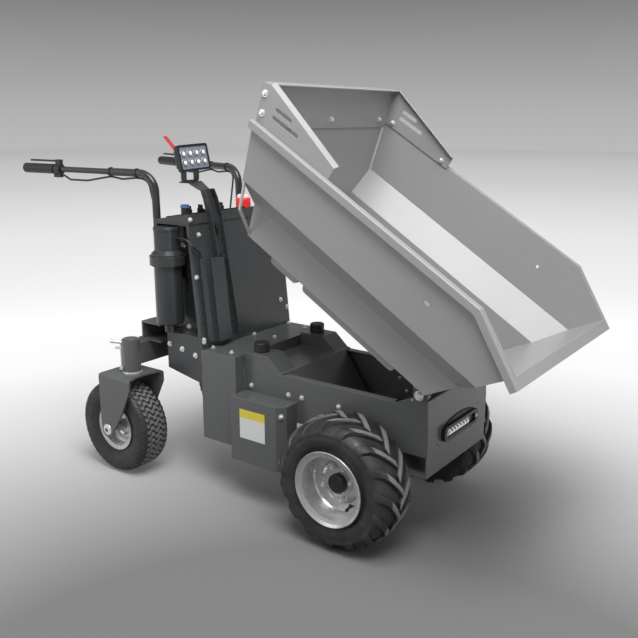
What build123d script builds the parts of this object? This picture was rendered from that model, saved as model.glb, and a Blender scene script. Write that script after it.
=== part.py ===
from build123d import *
import os
from math import radians, degrees, sin, cos, tan, atan2, hypot, pi

os.makedirs("parts", exist_ok=True)

# ---------------------------------------------------------------- sizes (mm)
# X forward to the tipping end, Y left, Z up.  x = 0 on the front axle until
# the final shift, z = 0 on the ground.
SEAT = 0.3                              # gap between faces that are bolted or pressed on

YC, TP = 189.0, 5.0                     # chassis side plate: outer face, thickness
XA, XF = -448.0, 226.0                  # chassis rear and front plate
ZT, ZB, ZBEL = 440.0, 295.0, 231.0      # side top, side bottom, belly bottom
XBEL = -120.0                           # rear end of the belly
XWELL = -290.0                          # front end of the rear top plate
ZLEAN = 379.0                           # bend of the front plate
PEDESTAL = 50.0                         # height of the buffer pedestals over the side

XP, ZP = 197.4, 477.7                   # tipping pivot
REST = 31.7                             # bed angle as shown
PIN_R, EAR_R = 10.0, 22.0               # hinge shaft, its eyes

RF, TYRE_HALF, TYRE_GAP = 200.0, 81.0, 13.0     # front tyre: radius, half width, to the chassis
RIM_R, RIM_HALF = 100.0, 66.0           # front rim: tyre seat radius, half width
YW = YC + TYRE_GAP + TYRE_HALF          # front wheel middle
AXLE_R, AXLE_END = 26.0, YC - 3.0       # front axle tube
HUB_IN = YW - AXLE_END - SEAT           # wheel middle to the hub's inner end

RC, CTYRE_HALF = 165.0, 61.0            # caster tyre
CRIM_R, CRIM_HALF = 76.0, 41.0          # caster rim
CORD_R = 3.3                            # cables
XCS, YCS, TRAIL = -878.0, 290.0, 54.0   # swivel axis, how far the wheel trails it
FORK_GAP, FORK_T, FORK_HALF = 36.0, 8.0, 80.0   # fork's top over the tyre, plate, half width
ZFORK = 2 * RC + FORK_GAP
TUBE_R, ZTUBE0 = 31.0, ZFORK + 7.0      # swivel tube: radius, bottom
ZTUBE1 = ZTUBE0 + 111.0                 # its top

YD = 232.0                              # deck and tower half width
XD0, XD1 = -600.0, -450.0               # deck box
ZD, ZDB, ZBAT = 480.0, 362.0, 173.0     # deck top, deck bottom, battery box bottom
LEAN = 46.0 / 440.0                     # lean of the tower's face
XFACE = -592.0                          # tower face at the deck's top
XTR, ZFACE = -790.0, 918.0              # tower rear, height of the lid's front
XTL = -757.0                            # tower's rear below the shoulder
LID_FALL, LID_T = 23.0 / 150.0, 3.0     # slope of the lid to the rear, sheet
WALL = 4.0                              # tower sheet

BOX_Y, BOX_Z0 = 264.6, 148.0            # control box: outer face, bottom

UNIT_X, UNIT_Y = -722.0, -246.0         # pump unit axis
TANK_R, TANK_Z0, TANK_Z1 = 46.0, 556.0, 752.0
COLLAR_R, MOTOR_R, MOTOR_Z = 53.0, 42.0, 879.0

BAR_X, BAR_Y, BAR_Z = -803.5, 206.0, 1042.0     # handlebar stem and its bend
GRIP_X, GRIP_Y, GRIP_Z = -1343.0, 322.0, 1050.0 # handlebar end
BAR_R, BAR_THIN, GRIP_R = 13.0, 10.0, 17.0
GRIP_L, CLAMP_L = 128.0, 24.0

POST_Z, POST_FOOT = ZFACE + 106.0, ZD + 32.0    # lamp post top and foot
LAMP = (-660.0, -167.6, POST_Z + 74.7)  # middle of the work lamp's glass
LAMP_W, LAMP_H, LAMP_D = 130.0, 84.0, 40.0
COVER_Z = 776.0                         # top of the cable cover

RIMZ, FLZ, BED_T = 388.5, 48.6, 4.0     # bed rim height, floor underside, sheet
BED_X0, BED_X1 = -691.0, 25.6           # floor's rear end, lip's lower bend
REAR_LEAN = 87.0 / 339.9                # lean of the bed's rear wall
XKINK, DROP = 41.0, 28.5                # where the rim turns down, and its angle
RIM_SLOPE, LIP_FLANGE = 208.3, 28.0     # length of the sloping rim, width of the lip's flange
WALL_OUT, WALL_IN = 339.0, 254.3        # half width at the rim and at the floor
TAPER, CREASE, RISE = 0.052, 136.5, 0.0105
RIM_OUT, RIM_D, RIM_T = 354.0, 21.5, 3.5
SPILL_LAP, SPILL_H, SPILL_T = 22.5, 101.5, 3.0
WING_LAP, WING_X, WING_H = 6.0, -487.0, 34.0    # wing: lap, front end, height there

FOOT_X, FOOT_Z = 70.0, 262.0            # cylinder foot pin
EYE_X, EYE_Z = -80.0, 8.0               # cylinder rod pin, in the bed's frame
FOOT_R, EYE_R = 8.0, 6.0
PLATE_Y, PLATE_Z, PLATE_DZ = 131.0, 341.0, 25.0 # bolt holes of the front plate

SIDES = (("left", 1), ("right", -1))
PARTS = {}


# ------------------------------------------------------------------- helpers
def put(name, shape):
    PARTS[name] = shape


def box(x0, x1, y0, y1, z0, z1):
    return Pos((x0 + x1) / 2, (y0 + y1) / 2, (z0 + z1) / 2) * Box(abs(x1 - x0), abs(y1 - y0), abs(z1 - z0))


def on_axis(axis, a, p):
    """Point at a along the axis, with the other two coordinates p."""
    return {"x": (a, p[0], p[1]), "y": (p[0], a, p[1]), "z": (p[0], p[1], a)}[axis]


def along(axis):
    return {"x": (1, 0, 0), "y": (0, 1, 0), "z": (0, 0, 1)}[axis]


def prism(axis, pts, a, b):
    """Polygon across the axis, extruded along it from a to b."""
    a, b = min(a, b), max(a, b)
    loop = Polyline(*[on_axis(axis, a, p) for p in pts], close=True)
    return extrude(make_face(loop), amount=b - a, dir=along(axis))


def rod(axis, c, r, a, b):
    """Cylinder along the axis from a to b, with the other two coordinates c."""
    a, b = min(a, b), max(a, b)
    return extrude(Plane(origin=on_axis(axis, a, c), z_dir=along(axis)) * Circle(r), amount=b - a)


def turned(prof, c):
    """Profile of (radius, offset along Y) turned about the Y axis through c."""
    pts = [(c[0] + r, c[1] + h, c[2]) for r, h in prof]
    return revolve(make_face(Polyline(*pts, close=True)), axis=Axis(c, (0, 1, 0)), revolution_arc=360)


def flat(*pts):
    return Face(Wire.make_polygon(pts))


def faceted(prof, n, c):
    """Profile of (radius, offset along Y) carried round Y in n flat facets."""
    rings = []
    for r, y in prof:
        turn = [2 * pi * i / n for i in range(n)]
        rings.append([Vector(c[0] + r * cos(t), c[1] + y, c[2] + r * sin(t)) for t in turn])
    faces = []
    for j in range(len(prof)):
        a, b = rings[j - 1], rings[j]
        faces += [flat(a[i - 1], a[i], b[i], b[i - 1]) for i in range(n)]
    return Solid(Shell(faces))


def bent(pts, rad):
    """Polyline with tangent arcs at its inner corners, of one radius or a list."""
    P = [Vector(*p) for p in pts]
    radii = rad if isinstance(rad, list) else [rad] * len(pts)
    cur, out = P[0], []
    for i in range(1, len(P) - 1):
        u, v = (P[i - 1] - P[i]).normalized(), (P[i + 1] - P[i]).normalized()
        half, r = radians(u.get_angle(v)) / 2, radii[i - 1]
        reach = r / tan(half)
        middle = P[i] + (u + v).normalized() * (r / sin(half) - r)
        out += [Line(cur, P[i] + u * reach), ThreePointArc(P[i] + u * reach, middle, P[i] + v * reach)]
        cur = P[i] + v * reach
    return Wire(out + [Line(cur, P[-1])])


def tube(pts, rad, r):
    path = bent(pts, rad)
    return sweep(Plane(origin=path @ 0, z_dir=path % 0) * Circle(r), path=path)


def mirror_y(s):
    return mirror(s, about=Plane.XZ)


def largest(s):
    return max(s.solids(), key=lambda q: q.volume)


def xface(z):
    """x of the tower's leaning face at height z."""
    return XFACE - LEAN * (z - ZD)


def lid_z(x):
    """Height of the lid's top at x."""
    return ZFACE + LID_T + (x - xface(ZFACE)) * LID_FALL


def to_bed(s):
    """From the level bed's frame (pivot at the origin) to the machine."""
    return Pos(XP, 0, ZP) * Rot(0, REST, 0) * s


# ------------------------------------------------------------------- chassis
def chassis():
    # side plate: rises at the front to the ear round the tipping pivot
    nose = [(XF, ZLEAN), (XF - 4, ZP - 16), (XP, ZP), (XP - 32, ZP - 16), (XP - 79, ZT)]
    side = [(XA, ZB), (XF, ZB)] + nose + [(XA, ZT)]
    outer = [(XF, ZBEL), (XF, ZLEAN), (XF - 4, ZP - 16)]
    f = prism("y", outer + [(x - TP, z) for x, z in reversed(outer)], -YC, YC)
    f += box(XA, XBEL + TP, -YC, YC, ZB, ZB + TP)
    f += box(XBEL, XF, -YC, YC, ZBEL, ZBEL + TP)
    f += box(XBEL, XBEL + TP, -YC, YC, ZBEL, ZB + TP)
    f += box(XA, XA + TP, -YC, YC, ZB, ZT)
    for s in (-1, 1):
        f += prism("y", side, s * YC, s * (YC - TP)) + rod("y", (XP, ZP), 24, s * YC, s * (YC - TP))
        f += box(XA, XP - 85, s * (YC - 25), s * (YC - TP), ZT - 4, ZT)
        # foot lugs of the tipping cylinder
        foot = [(FOOT_X - 35, ZBEL + TP), (FOOT_X + 35, ZBEL + TP)]
        foot += [(FOOT_X + 14, FOOT_Z + 16), (FOOT_X - 14, FOOT_Z + 16)]
        f += prism("y", foot, s * 16, s * 22)
    f += rod("y", (FOOT_X, FOOT_Z), FOOT_R, -22, 22)
    f -= rod("y", (XP, ZP), PIN_R + 0.1, -YC - TP, YC + TP)
    # the front plate's lower half is set back by the step of its lap
    f -= box(XF - 1.5, XF + 1, -YC - 1, YC + 1, ZBEL - 1, ZB)
    for y in (-PLATE_Y, PLATE_Y):
        for z in (PLATE_Z - PLATE_DZ, PLATE_Z + PLATE_DZ):
            f -= rod("x", (y, z), 3.3, XF - 2 * TP, XF + TP)
    put("chassis_frame", f)

    # rear top plate with its two pedestals and the slanted plate of the well
    zp = ZT + PEDESTAL
    t = box(XA, XWELL, -YC, YC, ZT, ZT + 4)
    for s in (-1, 1):
        t += prism("y", [(XA, ZT), (XWELL - 6, ZT), (XWELL - 62, zp), (XA, zp)], s * YC, s * 110)
        hollow = [(XA + 4, ZT - 1), (XWELL - 13, ZT - 1), (XWELL - 64, zp - 4), (XA + 4, zp - 4)]
        t -= prism("y", hollow, s * (YC - 4), s * 114)
    t += prism("y", [(XWELL - 4, ZT + 4), (XWELL, ZT + 4), (-192, ZB + 9), (-197, ZB + 7)], -160, 160)
    put("chassis_top", t)
    for name, s in SIDES:
        stop = rod("z", (XA + 43, s * 150), 25, zp, zp + 31)
        put("bed_buffer_" + name, chamfer(stop.edges().sort_by(Axis.Z)[-1:], 3))
    shaft = rod("y", (XP, ZP), PIN_R, -YC, YC)
    for s in (-1, 1):
        shaft += rod("y", (XP, ZP), 15, s * YC, s * (YC + 8))
    put("hinge_shaft", shaft)


def drive():
    a = rod("y", (0, RF), AXLE_R, -AXLE_END, AXLE_END)
    a += rod("y", (0, RF - 22), 48, 10, 96)
    a += prism("y", [(-92, 132), (-30, 126), (42, 150), (42, 222), (-20, 228), (-92, 222)], 18, 88)
    # drive motor: flange, body and end cap, along X to the rear
    for x0, x1, r in ((-262, -92, 50), (-110, -92, 54), (-274, -262, 40)):
        a += rod("x", (53, RF - 24), r, x0, x1)
    for s in (-1, 1):                       # pads welded under the belly
        a += box(-38, 38, s * 134, s * 160, RF + 4, ZBEL)
    put("transaxle", a)


# --------------------------------------------------------- deck, tower, boxes
def deck():
    d = box(XD0, XD1, -YD, YD, ZDB, ZD) - box(XD0 + 3, XD1 - 3, -YD + 3, YD - 3, ZDB - 1, ZD - 3)
    d += box(XD1, XA, -YC, YC, ZB + 5, ZT) - box(XD1 - 1, XA + 1, -YC + 30, YC - 30, ZB, ZT - 30)
    put("rear_deck", d)
    well = box(XD0 - 1, XD0 + 4, -YD + 12, YD - 12, ZBAT + 10, ZDB - 10)
    put("battery_box", box(XD0, XD1, -YD, YD, ZBAT, ZDB) - well)
    x0, x1, cut = XD1 + 5.5, XD1 + 215, 24.6
    plan = [(x0, -YC), (x0, -BOX_Y), (x1 - cut, -BOX_Y), (x1, cut - BOX_Y), (x1, -YC)]
    inner = [(x0 + 3, 1 - YC), (x0 + 3, 3 - BOX_Y), (x1 - cut - 1.2, 3 - BOX_Y)]
    inner += [(x1 - 3, cut + 1.2 - BOX_Y), (x1 - 3, 1 - YC)]
    b = prism("z", plan, BOX_Z0, ZDB) - prism("z", inner, BOX_Z0 + 3, ZDB - 3)
    put("control_box", b + box(x0 + 3, x1 - 3, -YC - 5, -YC, ZB, ZDB - 3))


def tower():
    # closed cabinet behind the leaning face, with the pump's bay on the right
    zf, low = ZFACE, ZD + 55
    xf = xface(zf)
    under = lambda x, d: lid_z(x) - LID_T - d
    foot = [(XTL, ZDB + 30), (XD0 - 1, ZDB), (XD0 - 1, ZD)]
    body = foot + [(xface(ZD), ZD), (xf, zf), (XTR, under(XTR, 0)), (XTR, low + 10), (XTL, low)]
    c = prism("y", body, -YD, YD)
    w = 12.0
    bay = [(-752, ZD + 40), (XD0 - w, ZD + 40), (xface(ZD + 60) - w, ZD + 60)]
    bay += [(xface(ZFACE - 34) - w, ZFACE - 34), (XTR + 8, ZFACE - 34), (XTR + 8, low + 10)]
    c -= prism("y", bay, -YD - 1, -YD + 52)
    room = [(XTL + WALL, ZDB - 2), (XD0 - 1 - WALL, ZDB - 32), (XD0 - 1 - WALL, ZD)]
    room += [(xface(ZD + 5) - WALL, ZD + 5), (xf - WALL, zf - WALL - 0.5)]
    room += [(XTR + WALL, under(XTR, WALL)), (XTR + WALL, low + 13), (XTL + WALL, low + 3)]
    c -= prism("y", room, -YD + 56, YD - WALL)
    put("tower_cabinet", c)

    # lid: sloping sheet with a band folded down over the face
    zb, t = zf - 29, LID_T
    lid = [(xface(zb), zb), (xface(zb) + t, zb), (xf + t, lid_z(xf + t))]
    lid += [(XTR, lid_z(XTR)), (XTR, under(XTR, 0)), (xf, zf)]
    put("tower_lid", prism("y", lid, -YD, YD))

    # on the leaning face: cover of the cables, channel post of the lamp
    face = Plane(origin=(xface(ZD), 0, ZD), x_dir=(0, 1, 0), z_dir=(1, 0, LEAN))
    up = lambda z: (z - ZD) * hypot(1, LEAN)
    sheet = lambda pts: make_face(Polyline(*[(y, up(z)) for y, z in pts], close=True))
    plate = lambda pts, d: extrude(face * sheet(pts), amount=d)
    z0 = ZD + 18
    cover = plate([(-172, z0), (-112, z0), (-112, COVER_Z - 6), (-172, COVER_Z)], 26)
    cover += plate([(-208, z0 + 4), (-172, z0), (-172, COVER_Z), (-208, COVER_Z)], 12)
    put("cable_cover", cover)
    # post rows: left and right edge (y) at each height
    rows = [(-110, -66, POST_FOOT), (-144, -92, ZFACE - 13)]
    rows += [(-154, -106, POST_Z - 58), (-163, -118, POST_Z - 28)]
    edge = [(l, z) for l, r, z in rows] + [(r, z) for l, r, z in reversed(rows)]
    inner = [(l + 4, z + (0 if i else -2)) for i, (l, r, z) in enumerate(rows)]
    inner += [(r - 4, z + (0 if i < 3 else -2)) for i, (l, r, z) in enumerate(reversed(rows))]
    p = plate(edge, 22) - extrude(face.offset(4) * sheet(inner), amount=20)
    xb, xt = xface(POST_Z - 28), xface(POST_Z) - 30
    neck = [(xb, POST_Z - 30), (xb + 4, POST_Z - 30), (xt + 6, POST_Z - 3)]
    neck += [(xt - 30, POST_Z - 3), (xt - 30, POST_Z - 8), (xt + 2, POST_Z - 8)]
    skew = [(xb + 9, -163), (xb + 9, -118), (xt - 12, -132)]
    skew += [(xt - 34, -132), (xt - 34, -192), (xt - 12, -192)]
    p += prism("y", neck, -200, -100) & prism("z", skew, POST_Z - 40, POST_Z)
    put("lamp_post", largest(p - PARTS["tower_lid"] - cover))

    # work lamp: bezel and fins in a U bracket that stands on the post
    glass = Pos(*LAMP) * Rot(0, -10.6, 0) * Rot(0, 0, -2) * Rot(2.3, 0, 0)
    body = box(-16, 0, -LAMP_W / 2, LAMP_W / 2, -LAMP_H / 2, LAMP_H / 2)
    body = fillet(body.edges().filter_by(Axis.X), 9)
    w, h = LAMP_W / 2 - 7, LAMP_H / 2 - 7
    body -= fillet(box(-2.5, 1, -w, w, -h, h).edges().filter_by(Axis.X), 5)
    back = loft([Plane(origin=(-14, 0, 0), z_dir=(-1, 0, 0)) * Rectangle(LAMP_H - 10, LAMP_W - 10),
                 Plane(origin=(-LAMP_D, 0, 0), z_dir=(-1, 0, 0)) * Rectangle(LAMP_H - 34, LAMP_W - 34)])
    for i in range(5):                      # cooling slots across the back
        back -= box(-LAMP_D - 1, -20, 16 * i - 34, 16 * i - 30, -LAMP_H, LAMP_H)
    y0, y1, z0 = -198.0, -138.0, POST_Z - 3 + SEAT
    arch = box(LAMP[0] - 34, LAMP[0] - 12, y0, y1, z0, LAMP[2] - 20)
    arch = fillet(arch.edges().filter_by(Axis.X).sort_by(Axis.Z)[:2], 9)
    arch -= box(LAMP[0] - 35, LAMP[0] - 11, y0 + 4, y1 - 4, z0 + 4, LAMP[2])
    put("work_lamp", largest(glass * (body + back) + arch))

    # beacon and switches stand on the sloping lid
    top = ZFACE + 180
    over = lambda x0, x1, d: [(x0, lid_z(x0) + d), (x0, top), (x1, top), (x1, lid_z(x1) + d)]
    above = lambda x0, x1, y0, y1, d: prism("y", over(x0, x1, d), y0, y1)
    dome = rod("z", (-712, 120), 27, lid_z(-712) - 40, lid_z(-712) + 36)
    put("beacon", fillet(dome.edges().sort_by(Axis.Z)[-1:], 7) & above(-800, -600, 60, 180, 0))
    panel = above(-765, -660, -205, 70, 0) - above(-766, -659, -206, 71, 4)
    for x, y, r, h in ((-690, -190, 13, 20), (-712, -151, 11, 14), (-702, -107, 11, 14), (-748, 40, 12, 14)):
        knob = rod("z", (x, y), r, lid_z(x) + 2, lid_z(x) + 4 + h)
        panel += chamfer(knob.edges().sort_by(Axis.Z)[-1:], 2)
    put("control_panel", panel)


def power_unit():
    c = (UNIT_X, UNIT_Y)
    m = rod("z", c, MOTOR_R, TANK_Z1 + 48, MOTOR_Z - 9) + rod("z", c, MOTOR_R + 1.5, MOTOR_Z - 11, MOTOR_Z)
    m = fillet(m.edges().sort_by(Axis.Z)[-1:], 4) + rod("z", c, COLLAR_R, TANK_Z1, TANK_Z1 + 40)
    cone = [Plane.XY.offset(TANK_Z1 + d) * Pos(*c) * Circle(q) for d, q in ((40, COLLAR_R), (51, MOTOR_R))]
    put("pump_motor", m + loft(cone))
    tank = fillet(rod("z", c, TANK_R, TANK_Z0, TANK_Z1).edges().sort_by(Axis.Z)[:1], 7)
    for dx, dy, r in ((0, 0, 20), (-26, 12, 7), (24, -14, 7)):
        tank += rod("z", (UNIT_X + dx, UNIT_Y + dy), r, TANK_Z0 - 28, TANK_Z0 + 9)
    put("pump_tank", tank)
    # clamp band round the collar, with the plate that carries it
    y1 = -YD + 52
    k = rod("z", c, COLLAR_R + 6, TANK_Z1 + 4, TANK_Z1 + 34)
    k += box(UNIT_X - 30, UNIT_X + 30, UNIT_Y + 50, y1, TANK_Z1 + 6, TANK_Z1 + 32)
    k += box(UNIT_X - 30, UNIT_X + 30, y1 - 6, y1, TANK_Z1 - 52, TANK_Z1 + 32)
    k += box(UNIT_X - 66, UNIT_X - 50, UNIT_Y - 9, UNIT_Y + 9, TANK_Z1 + 4, TANK_Z1 + 34)
    put("pump_clamp", k - rod("z", c, COLLAR_R, TANK_Z1 - 60, TANK_Z1 + 60))
    # cable from the motor, round the tower's edge, into the top of the cover
    start = (UNIT_X + MOTOR_R + SEAT, UNIT_Y + 5, MOTOR_Z - 34)
    front = xface(COVER_Z) + 7
    run = [start, (start[0] + 40, start[1], start[2] - 2), (front + 4, start[1] + 2, start[2] - 24)]
    run += [(front, -201, COVER_Z + 20), (front, -201, COVER_Z + 3)]
    put("pump_cable", tube(run, 14, CORD_R))


def handlebars():
    a, b = Vector(BAR_X - 6, -BAR_Y, BAR_Z), Vector(GRIP_X, -GRIP_Y, GRIP_Z)
    u = (b - a).normalized()
    joint = a + u * 184
    t = tube([(BAR_X, -BAR_Y - 1, 700), tuple(a), tuple(joint)], 62, BAR_R)
    for z in (722, 840):                    # saddles on the tower's rear
        t += box(BAR_X - 2, XTR, -BAR_Y - 13, -BAR_Y + 11, z, z + 22)
    t += extrude(Plane(origin=joint - u * 2, z_dir=u) * Circle(BAR_THIN), amount=(b - joint).length - 4)
    at = lambda d: Plane(origin=b - u * d, x_dir=(0, 0, 1), z_dir=u)
    grip = fillet(extrude(at(GRIP_L) * Circle(GRIP_R), amount=GRIP_L + 5).edges().sort_by(Axis.X)[:1], 5)
    grip -= extrude(at(GRIP_L + 1) * Circle(BAR_THIN + 0.1), amount=GRIP_L - 1)
    # lever: clamp round the bar, a knob above and below, blade along the grip
    reach = GRIP_L + CLAMP_L + 6
    lever = extrude(at(reach) * Circle(BAR_R + 5), amount=CLAMP_L)
    lever += extrude(at(reach) * Pos(22, 0) * Rectangle(22, 16), amount=CLAMP_L - 4)
    lever += extrude(at(reach) * Pos(-20, 0) * Rectangle(16, 14), amount=CLAMP_L + 6)
    lever += extrude(at(reach - 4) * Pos(28, 0) * Rectangle(6, 12), amount=reach - 30)
    lever -= extrude(at(reach + 1) * Circle(BAR_THIN + 0.1), amount=CLAMP_L + 20)
    # cable from the lever, tied twice under the bar, then down into the tower's
    # rear: how far past the lever, how far under the bar's middle, bend radius
    near = BAR_R + CORD_R + SEAT
    rows = [(SEAT, 20, 0), (9, 20, 12), (36, 34, 20), (110, 34, 30), (206, near, 30), (218, near, 30)]
    rows += [(258, near + 6, 40), (312, near, 40), (324, near, 40)]
    run = [tuple(b - u * (reach + d) - Vector(0, 0, drop)) for d, drop, r in rows]
    low = (BAR_X - 32, -BAR_Y - 4)
    over = 870                              # just above the upper saddle
    run += [(*low, BAR_Z - 20), (BAR_X - 30, 27 - BAR_Y, over), (XTR - SEAT, 27 - BAR_Y, over)]
    cord = tube(run, [r for d, drop, r in rows[1:]] + [30, 20], CORD_R)
    for d in (215, 321):
        tie = extrude(at(reach + d) * Circle(BAR_R + SEAT + 2.2), amount=6)
        cord += tie - extrude(at(reach + d + 1) * Circle(BAR_R + SEAT), amount=8)
    for name, turn in (("right", lambda q: q), ("left", mirror_y)):
        put("lever_cable_" + name, turn(cord))
        put("handlebar_" + name, turn(t))
        put("grip_" + name, turn(grip))
        put("lever_clamp_" + name, turn(lever))


def front_lamp():
    # long housing with a sunk window and an arched plate behind it
    h, w, z = 23.0, 108.0, PLATE_Z - 2
    b = fillet(box(XF, XF + 12, -w, w, z - h, z + h).edges().filter_by(Axis.X), 14)
    b -= fillet(box(XF + 5, XF + 13, 16 - w, w - 16, z - h + 10, z + h - 10).edges().filter_by(Axis.X), 8)
    put("front_lamp", b)


# ------------------------------------------------------------- rear casters
def rear():
    bx0, bx1, bz0, bz1 = XCS - 25, XCS + 25, ZTUBE0 + 22, ZTUBE1 - 14
    beam = box(bx0, bx1, -YCS + 22, YCS - 22, bz0, bz1)
    for s in (-1, 1):
        beam += rod("z", (XCS, s * YCS), TUBE_R, ZTUBE0, ZTUBE1)
    for s in (-1, 1):
        beam -= rod("z", (XCS, s * YCS), 13, ZTUBE0 - 1, ZTUBE1 + 1)
    put("caster_beam", beam - box(bx0 + 4, bx1 - 4, -YCS + 40, YCS - 40, bz0 + 4, bz1 - 4))
    # C-shaped bracket over the beam, and the foot below it
    k = box(bx0, XTR, -YD, YD, bz1, bz1 + 6) + box(XCS - 6, XCS, -YD, YD, bz1, bz1 + 67)
    k += box(XCS - 6, XTR, -YD, YD, bz1 + 61, bz1 + 67)
    strap = ZDB + 43                        # meets the tower's lower rear plate
    k += box(bx1 + SEAT, XTL, -150, 150, strap, strap + 6)
    k += box(bx1, bx1 + 6, -150, 150, strap, bz1 + 6)
    put("beam_bracket", k)

    # fork folded from one plate: U section along X, cut to the side outline
    x0, x1, xw = XCS - 84, XCS + 70, XCS - TRAIL
    u = box(x0, x1, -FORK_HALF, FORK_HALF, 0, ZFORK)
    u = fillet(u.edges().filter_by(Axis.X).sort_by(Axis.Z)[-2:], 10)
    u -= box(x0 - 1, x1 + 1, FORK_T - FORK_HALF, FORK_HALF - FORK_T, -1, ZFORK - FORK_T)
    leg = [(x0, ZFORK), (x1, ZFORK), (x1, ZFORK - 38), (XCS + 27, RC + 76)]
    leg += [(xw + 25, RC - 12), (xw - 28, RC - 2), (x0, RC + 30)]
    u &= prism("y", leg, -FORK_HALF, FORK_HALF) + rod("y", (xw, RC), 28, -FORK_HALF, FORK_HALF)
    u -= rod("z", (x1 + 150, 0), 170, ZFORK - FORK_T - 1, ZFORK + 1)
    u += rod("z", (XCS, 0), 12.5, ZFORK, ZTUBE1 + 2) + rod("z", (XCS, 0), 24, ZFORK, ZFORK + 6)
    u += rod("z", (XCS, 0), 26, ZTUBE1 + 0.5, ZTUBE1 + 3) + rod("y", (xw, RC), 8, -86, 86)
    rim = [(8.6, -50), (20, -50), (20, -9), (34, -8), (40, -13), (52, -13), (58, -8)]
    rim += [(70, -12), (70, -44), (84, -48), (84, -45), (76, -41)]
    rim = turned(rim + [(r, -y) for r, y in reversed(rim)], (xw, 0, RC))
    n = 40
    half = [(CRIM_R / cos(pi / n), CRIM_HALF - SEAT), (92, 46), (118, 57)]
    half += [(141, CTYRE_HALF), (158, 50), (RC, 18)]
    tyre = faceted(half + [(r, -y) for r, y in reversed(half)], n, (xw, 0, RC))
    for name, s in SIDES:
        put("caster_fork_" + name, Pos(0, s * YCS, 0) * u)
        put("caster_rim_" + name, Pos(0, s * YCS, 0) * rim)
        put("caster_tyre_" + name, Pos(0, s * YCS, 0) * tyre)


# -------------------------------------------------------------- front wheels
LUGS = 15
# one bar of the tread: offset, lag behind its root (degrees), tip radius, foot radius, half width
BAR = [(-4, 0, RF - 0.5, 178, 12.5), (36, 14, RF - 1.5, 176, 13),
       (64, 22, RF - 10, 166, 14), (79.5, 26, RF - 30, 152, 15)]


def lug(at, side):
    """One bar of the chevron tread, from the middle to the shoulder."""
    secs = []
    for y, lag, tip, foot, half in BAR:
        a = radians(at + lag)
        t, r, o = Vector(-sin(a), 0, cos(a)), Vector(cos(a), 0, sin(a)), Vector(0, side * y, 0)
        corners = ((foot, half + 3), (tip, half), (tip, -half), (foot, -half - 3))
        secs.append([o + r * rise + t * across for rise, across in corners])
    faces = [flat(*secs[0]), flat(*secs[-1])]
    for a, b in zip(secs, secs[1:]):
        for i in range(4):
            faces += [flat(a[i - 1], a[i], b[i]), flat(a[i - 1], b[i], b[i - 1])]
    return Solid(Shell(faces))


def front_wheels():
    n = 3 * LUGS
    half = [(RIM_R / cos(pi / n), RIM_HALF - SEAT), (112, RIM_HALF + 1.7), (124, TYRE_HALF - 6)]
    half += [(145, TYRE_HALF), (163, TYRE_HALF - 3), (182, 56)]
    body = faceted(half + [(187, 0)] + [(r, -y) for r, y in reversed(half)], n, (0, 0, 0))
    pitch = 360.0 / LUGS
    bars = [lug(pitch * (k + (0.25 if s > 0 else 0.75)), s) for k in range(LUGS) for s in (1, -1)]
    tyre = body.fuse(*bars)
    # rim: long hub to the axle, dished disc, barrel with its two flanges
    hub = [(0, -HUB_IN), (22, -HUB_IN), (22, -30), (34, -24), (34, -4), (58, -4), (64, 2), (86, -2), (94, -8)]
    barrel = [(94, -66), (104, -69), (112, -75), (114, -73), (106, -67), (RIM_R, -RIM_HALF)]
    dish = [(92, 50), (92, 14), (88, 8), (67, 4), (62, 9), (56, 3), (31, 3), (30, 12), (0, 12)]
    rim = turned(hub + barrel + [(r, -y) for r, y in reversed(barrel)] + dish, (0, 0, 0))
    for name, turn in (("left", lambda q: q), ("right", mirror_y)):
        put("front_rim_" + name, turn(Pos(0, YW, RF) * rim))
        put("front_tyre_" + name, turn(Pos(0, YW, RF) * tyre))


# ------------------------------------------------------------------ tipping bed
def rear_x(z):
    """x of the rear wall's outer face at height z of the bed's frame."""
    return BED_X0 - REAR_LEAN * (z - FLZ)


def bed_section(x, t, top):
    """Half outline at x, set in by t: floor, lower wall, slanted panel, upper wall."""
    slant = 0.99
    skew = hypot(1, slant)
    zl = CREASE - RISE * x
    z1 = zl + t * (skew - 1) / slant
    z2 = (WALL_OUT - TAPER * RIMZ - t - WALL_IN + slant * zl + t * skew) / (slant - TAPER)
    y2 = WALL_OUT - TAPER * (RIMZ - z2) - t
    half = [(WALL_OUT - TAPER * (RIMZ - top) - t, top), (y2, z2), (WALL_IN - t, z1), (WALL_IN - t, FLZ + t)]
    loop = half + [(-y, z) for y, z in reversed(half)]
    return make_face(Polyline(*[(x, y, z) for y, z in loop], close=True))


def trough(t, top):
    return loft([bed_section(-840, t, top), bed_section(260, t, top)], ruled=True)


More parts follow.
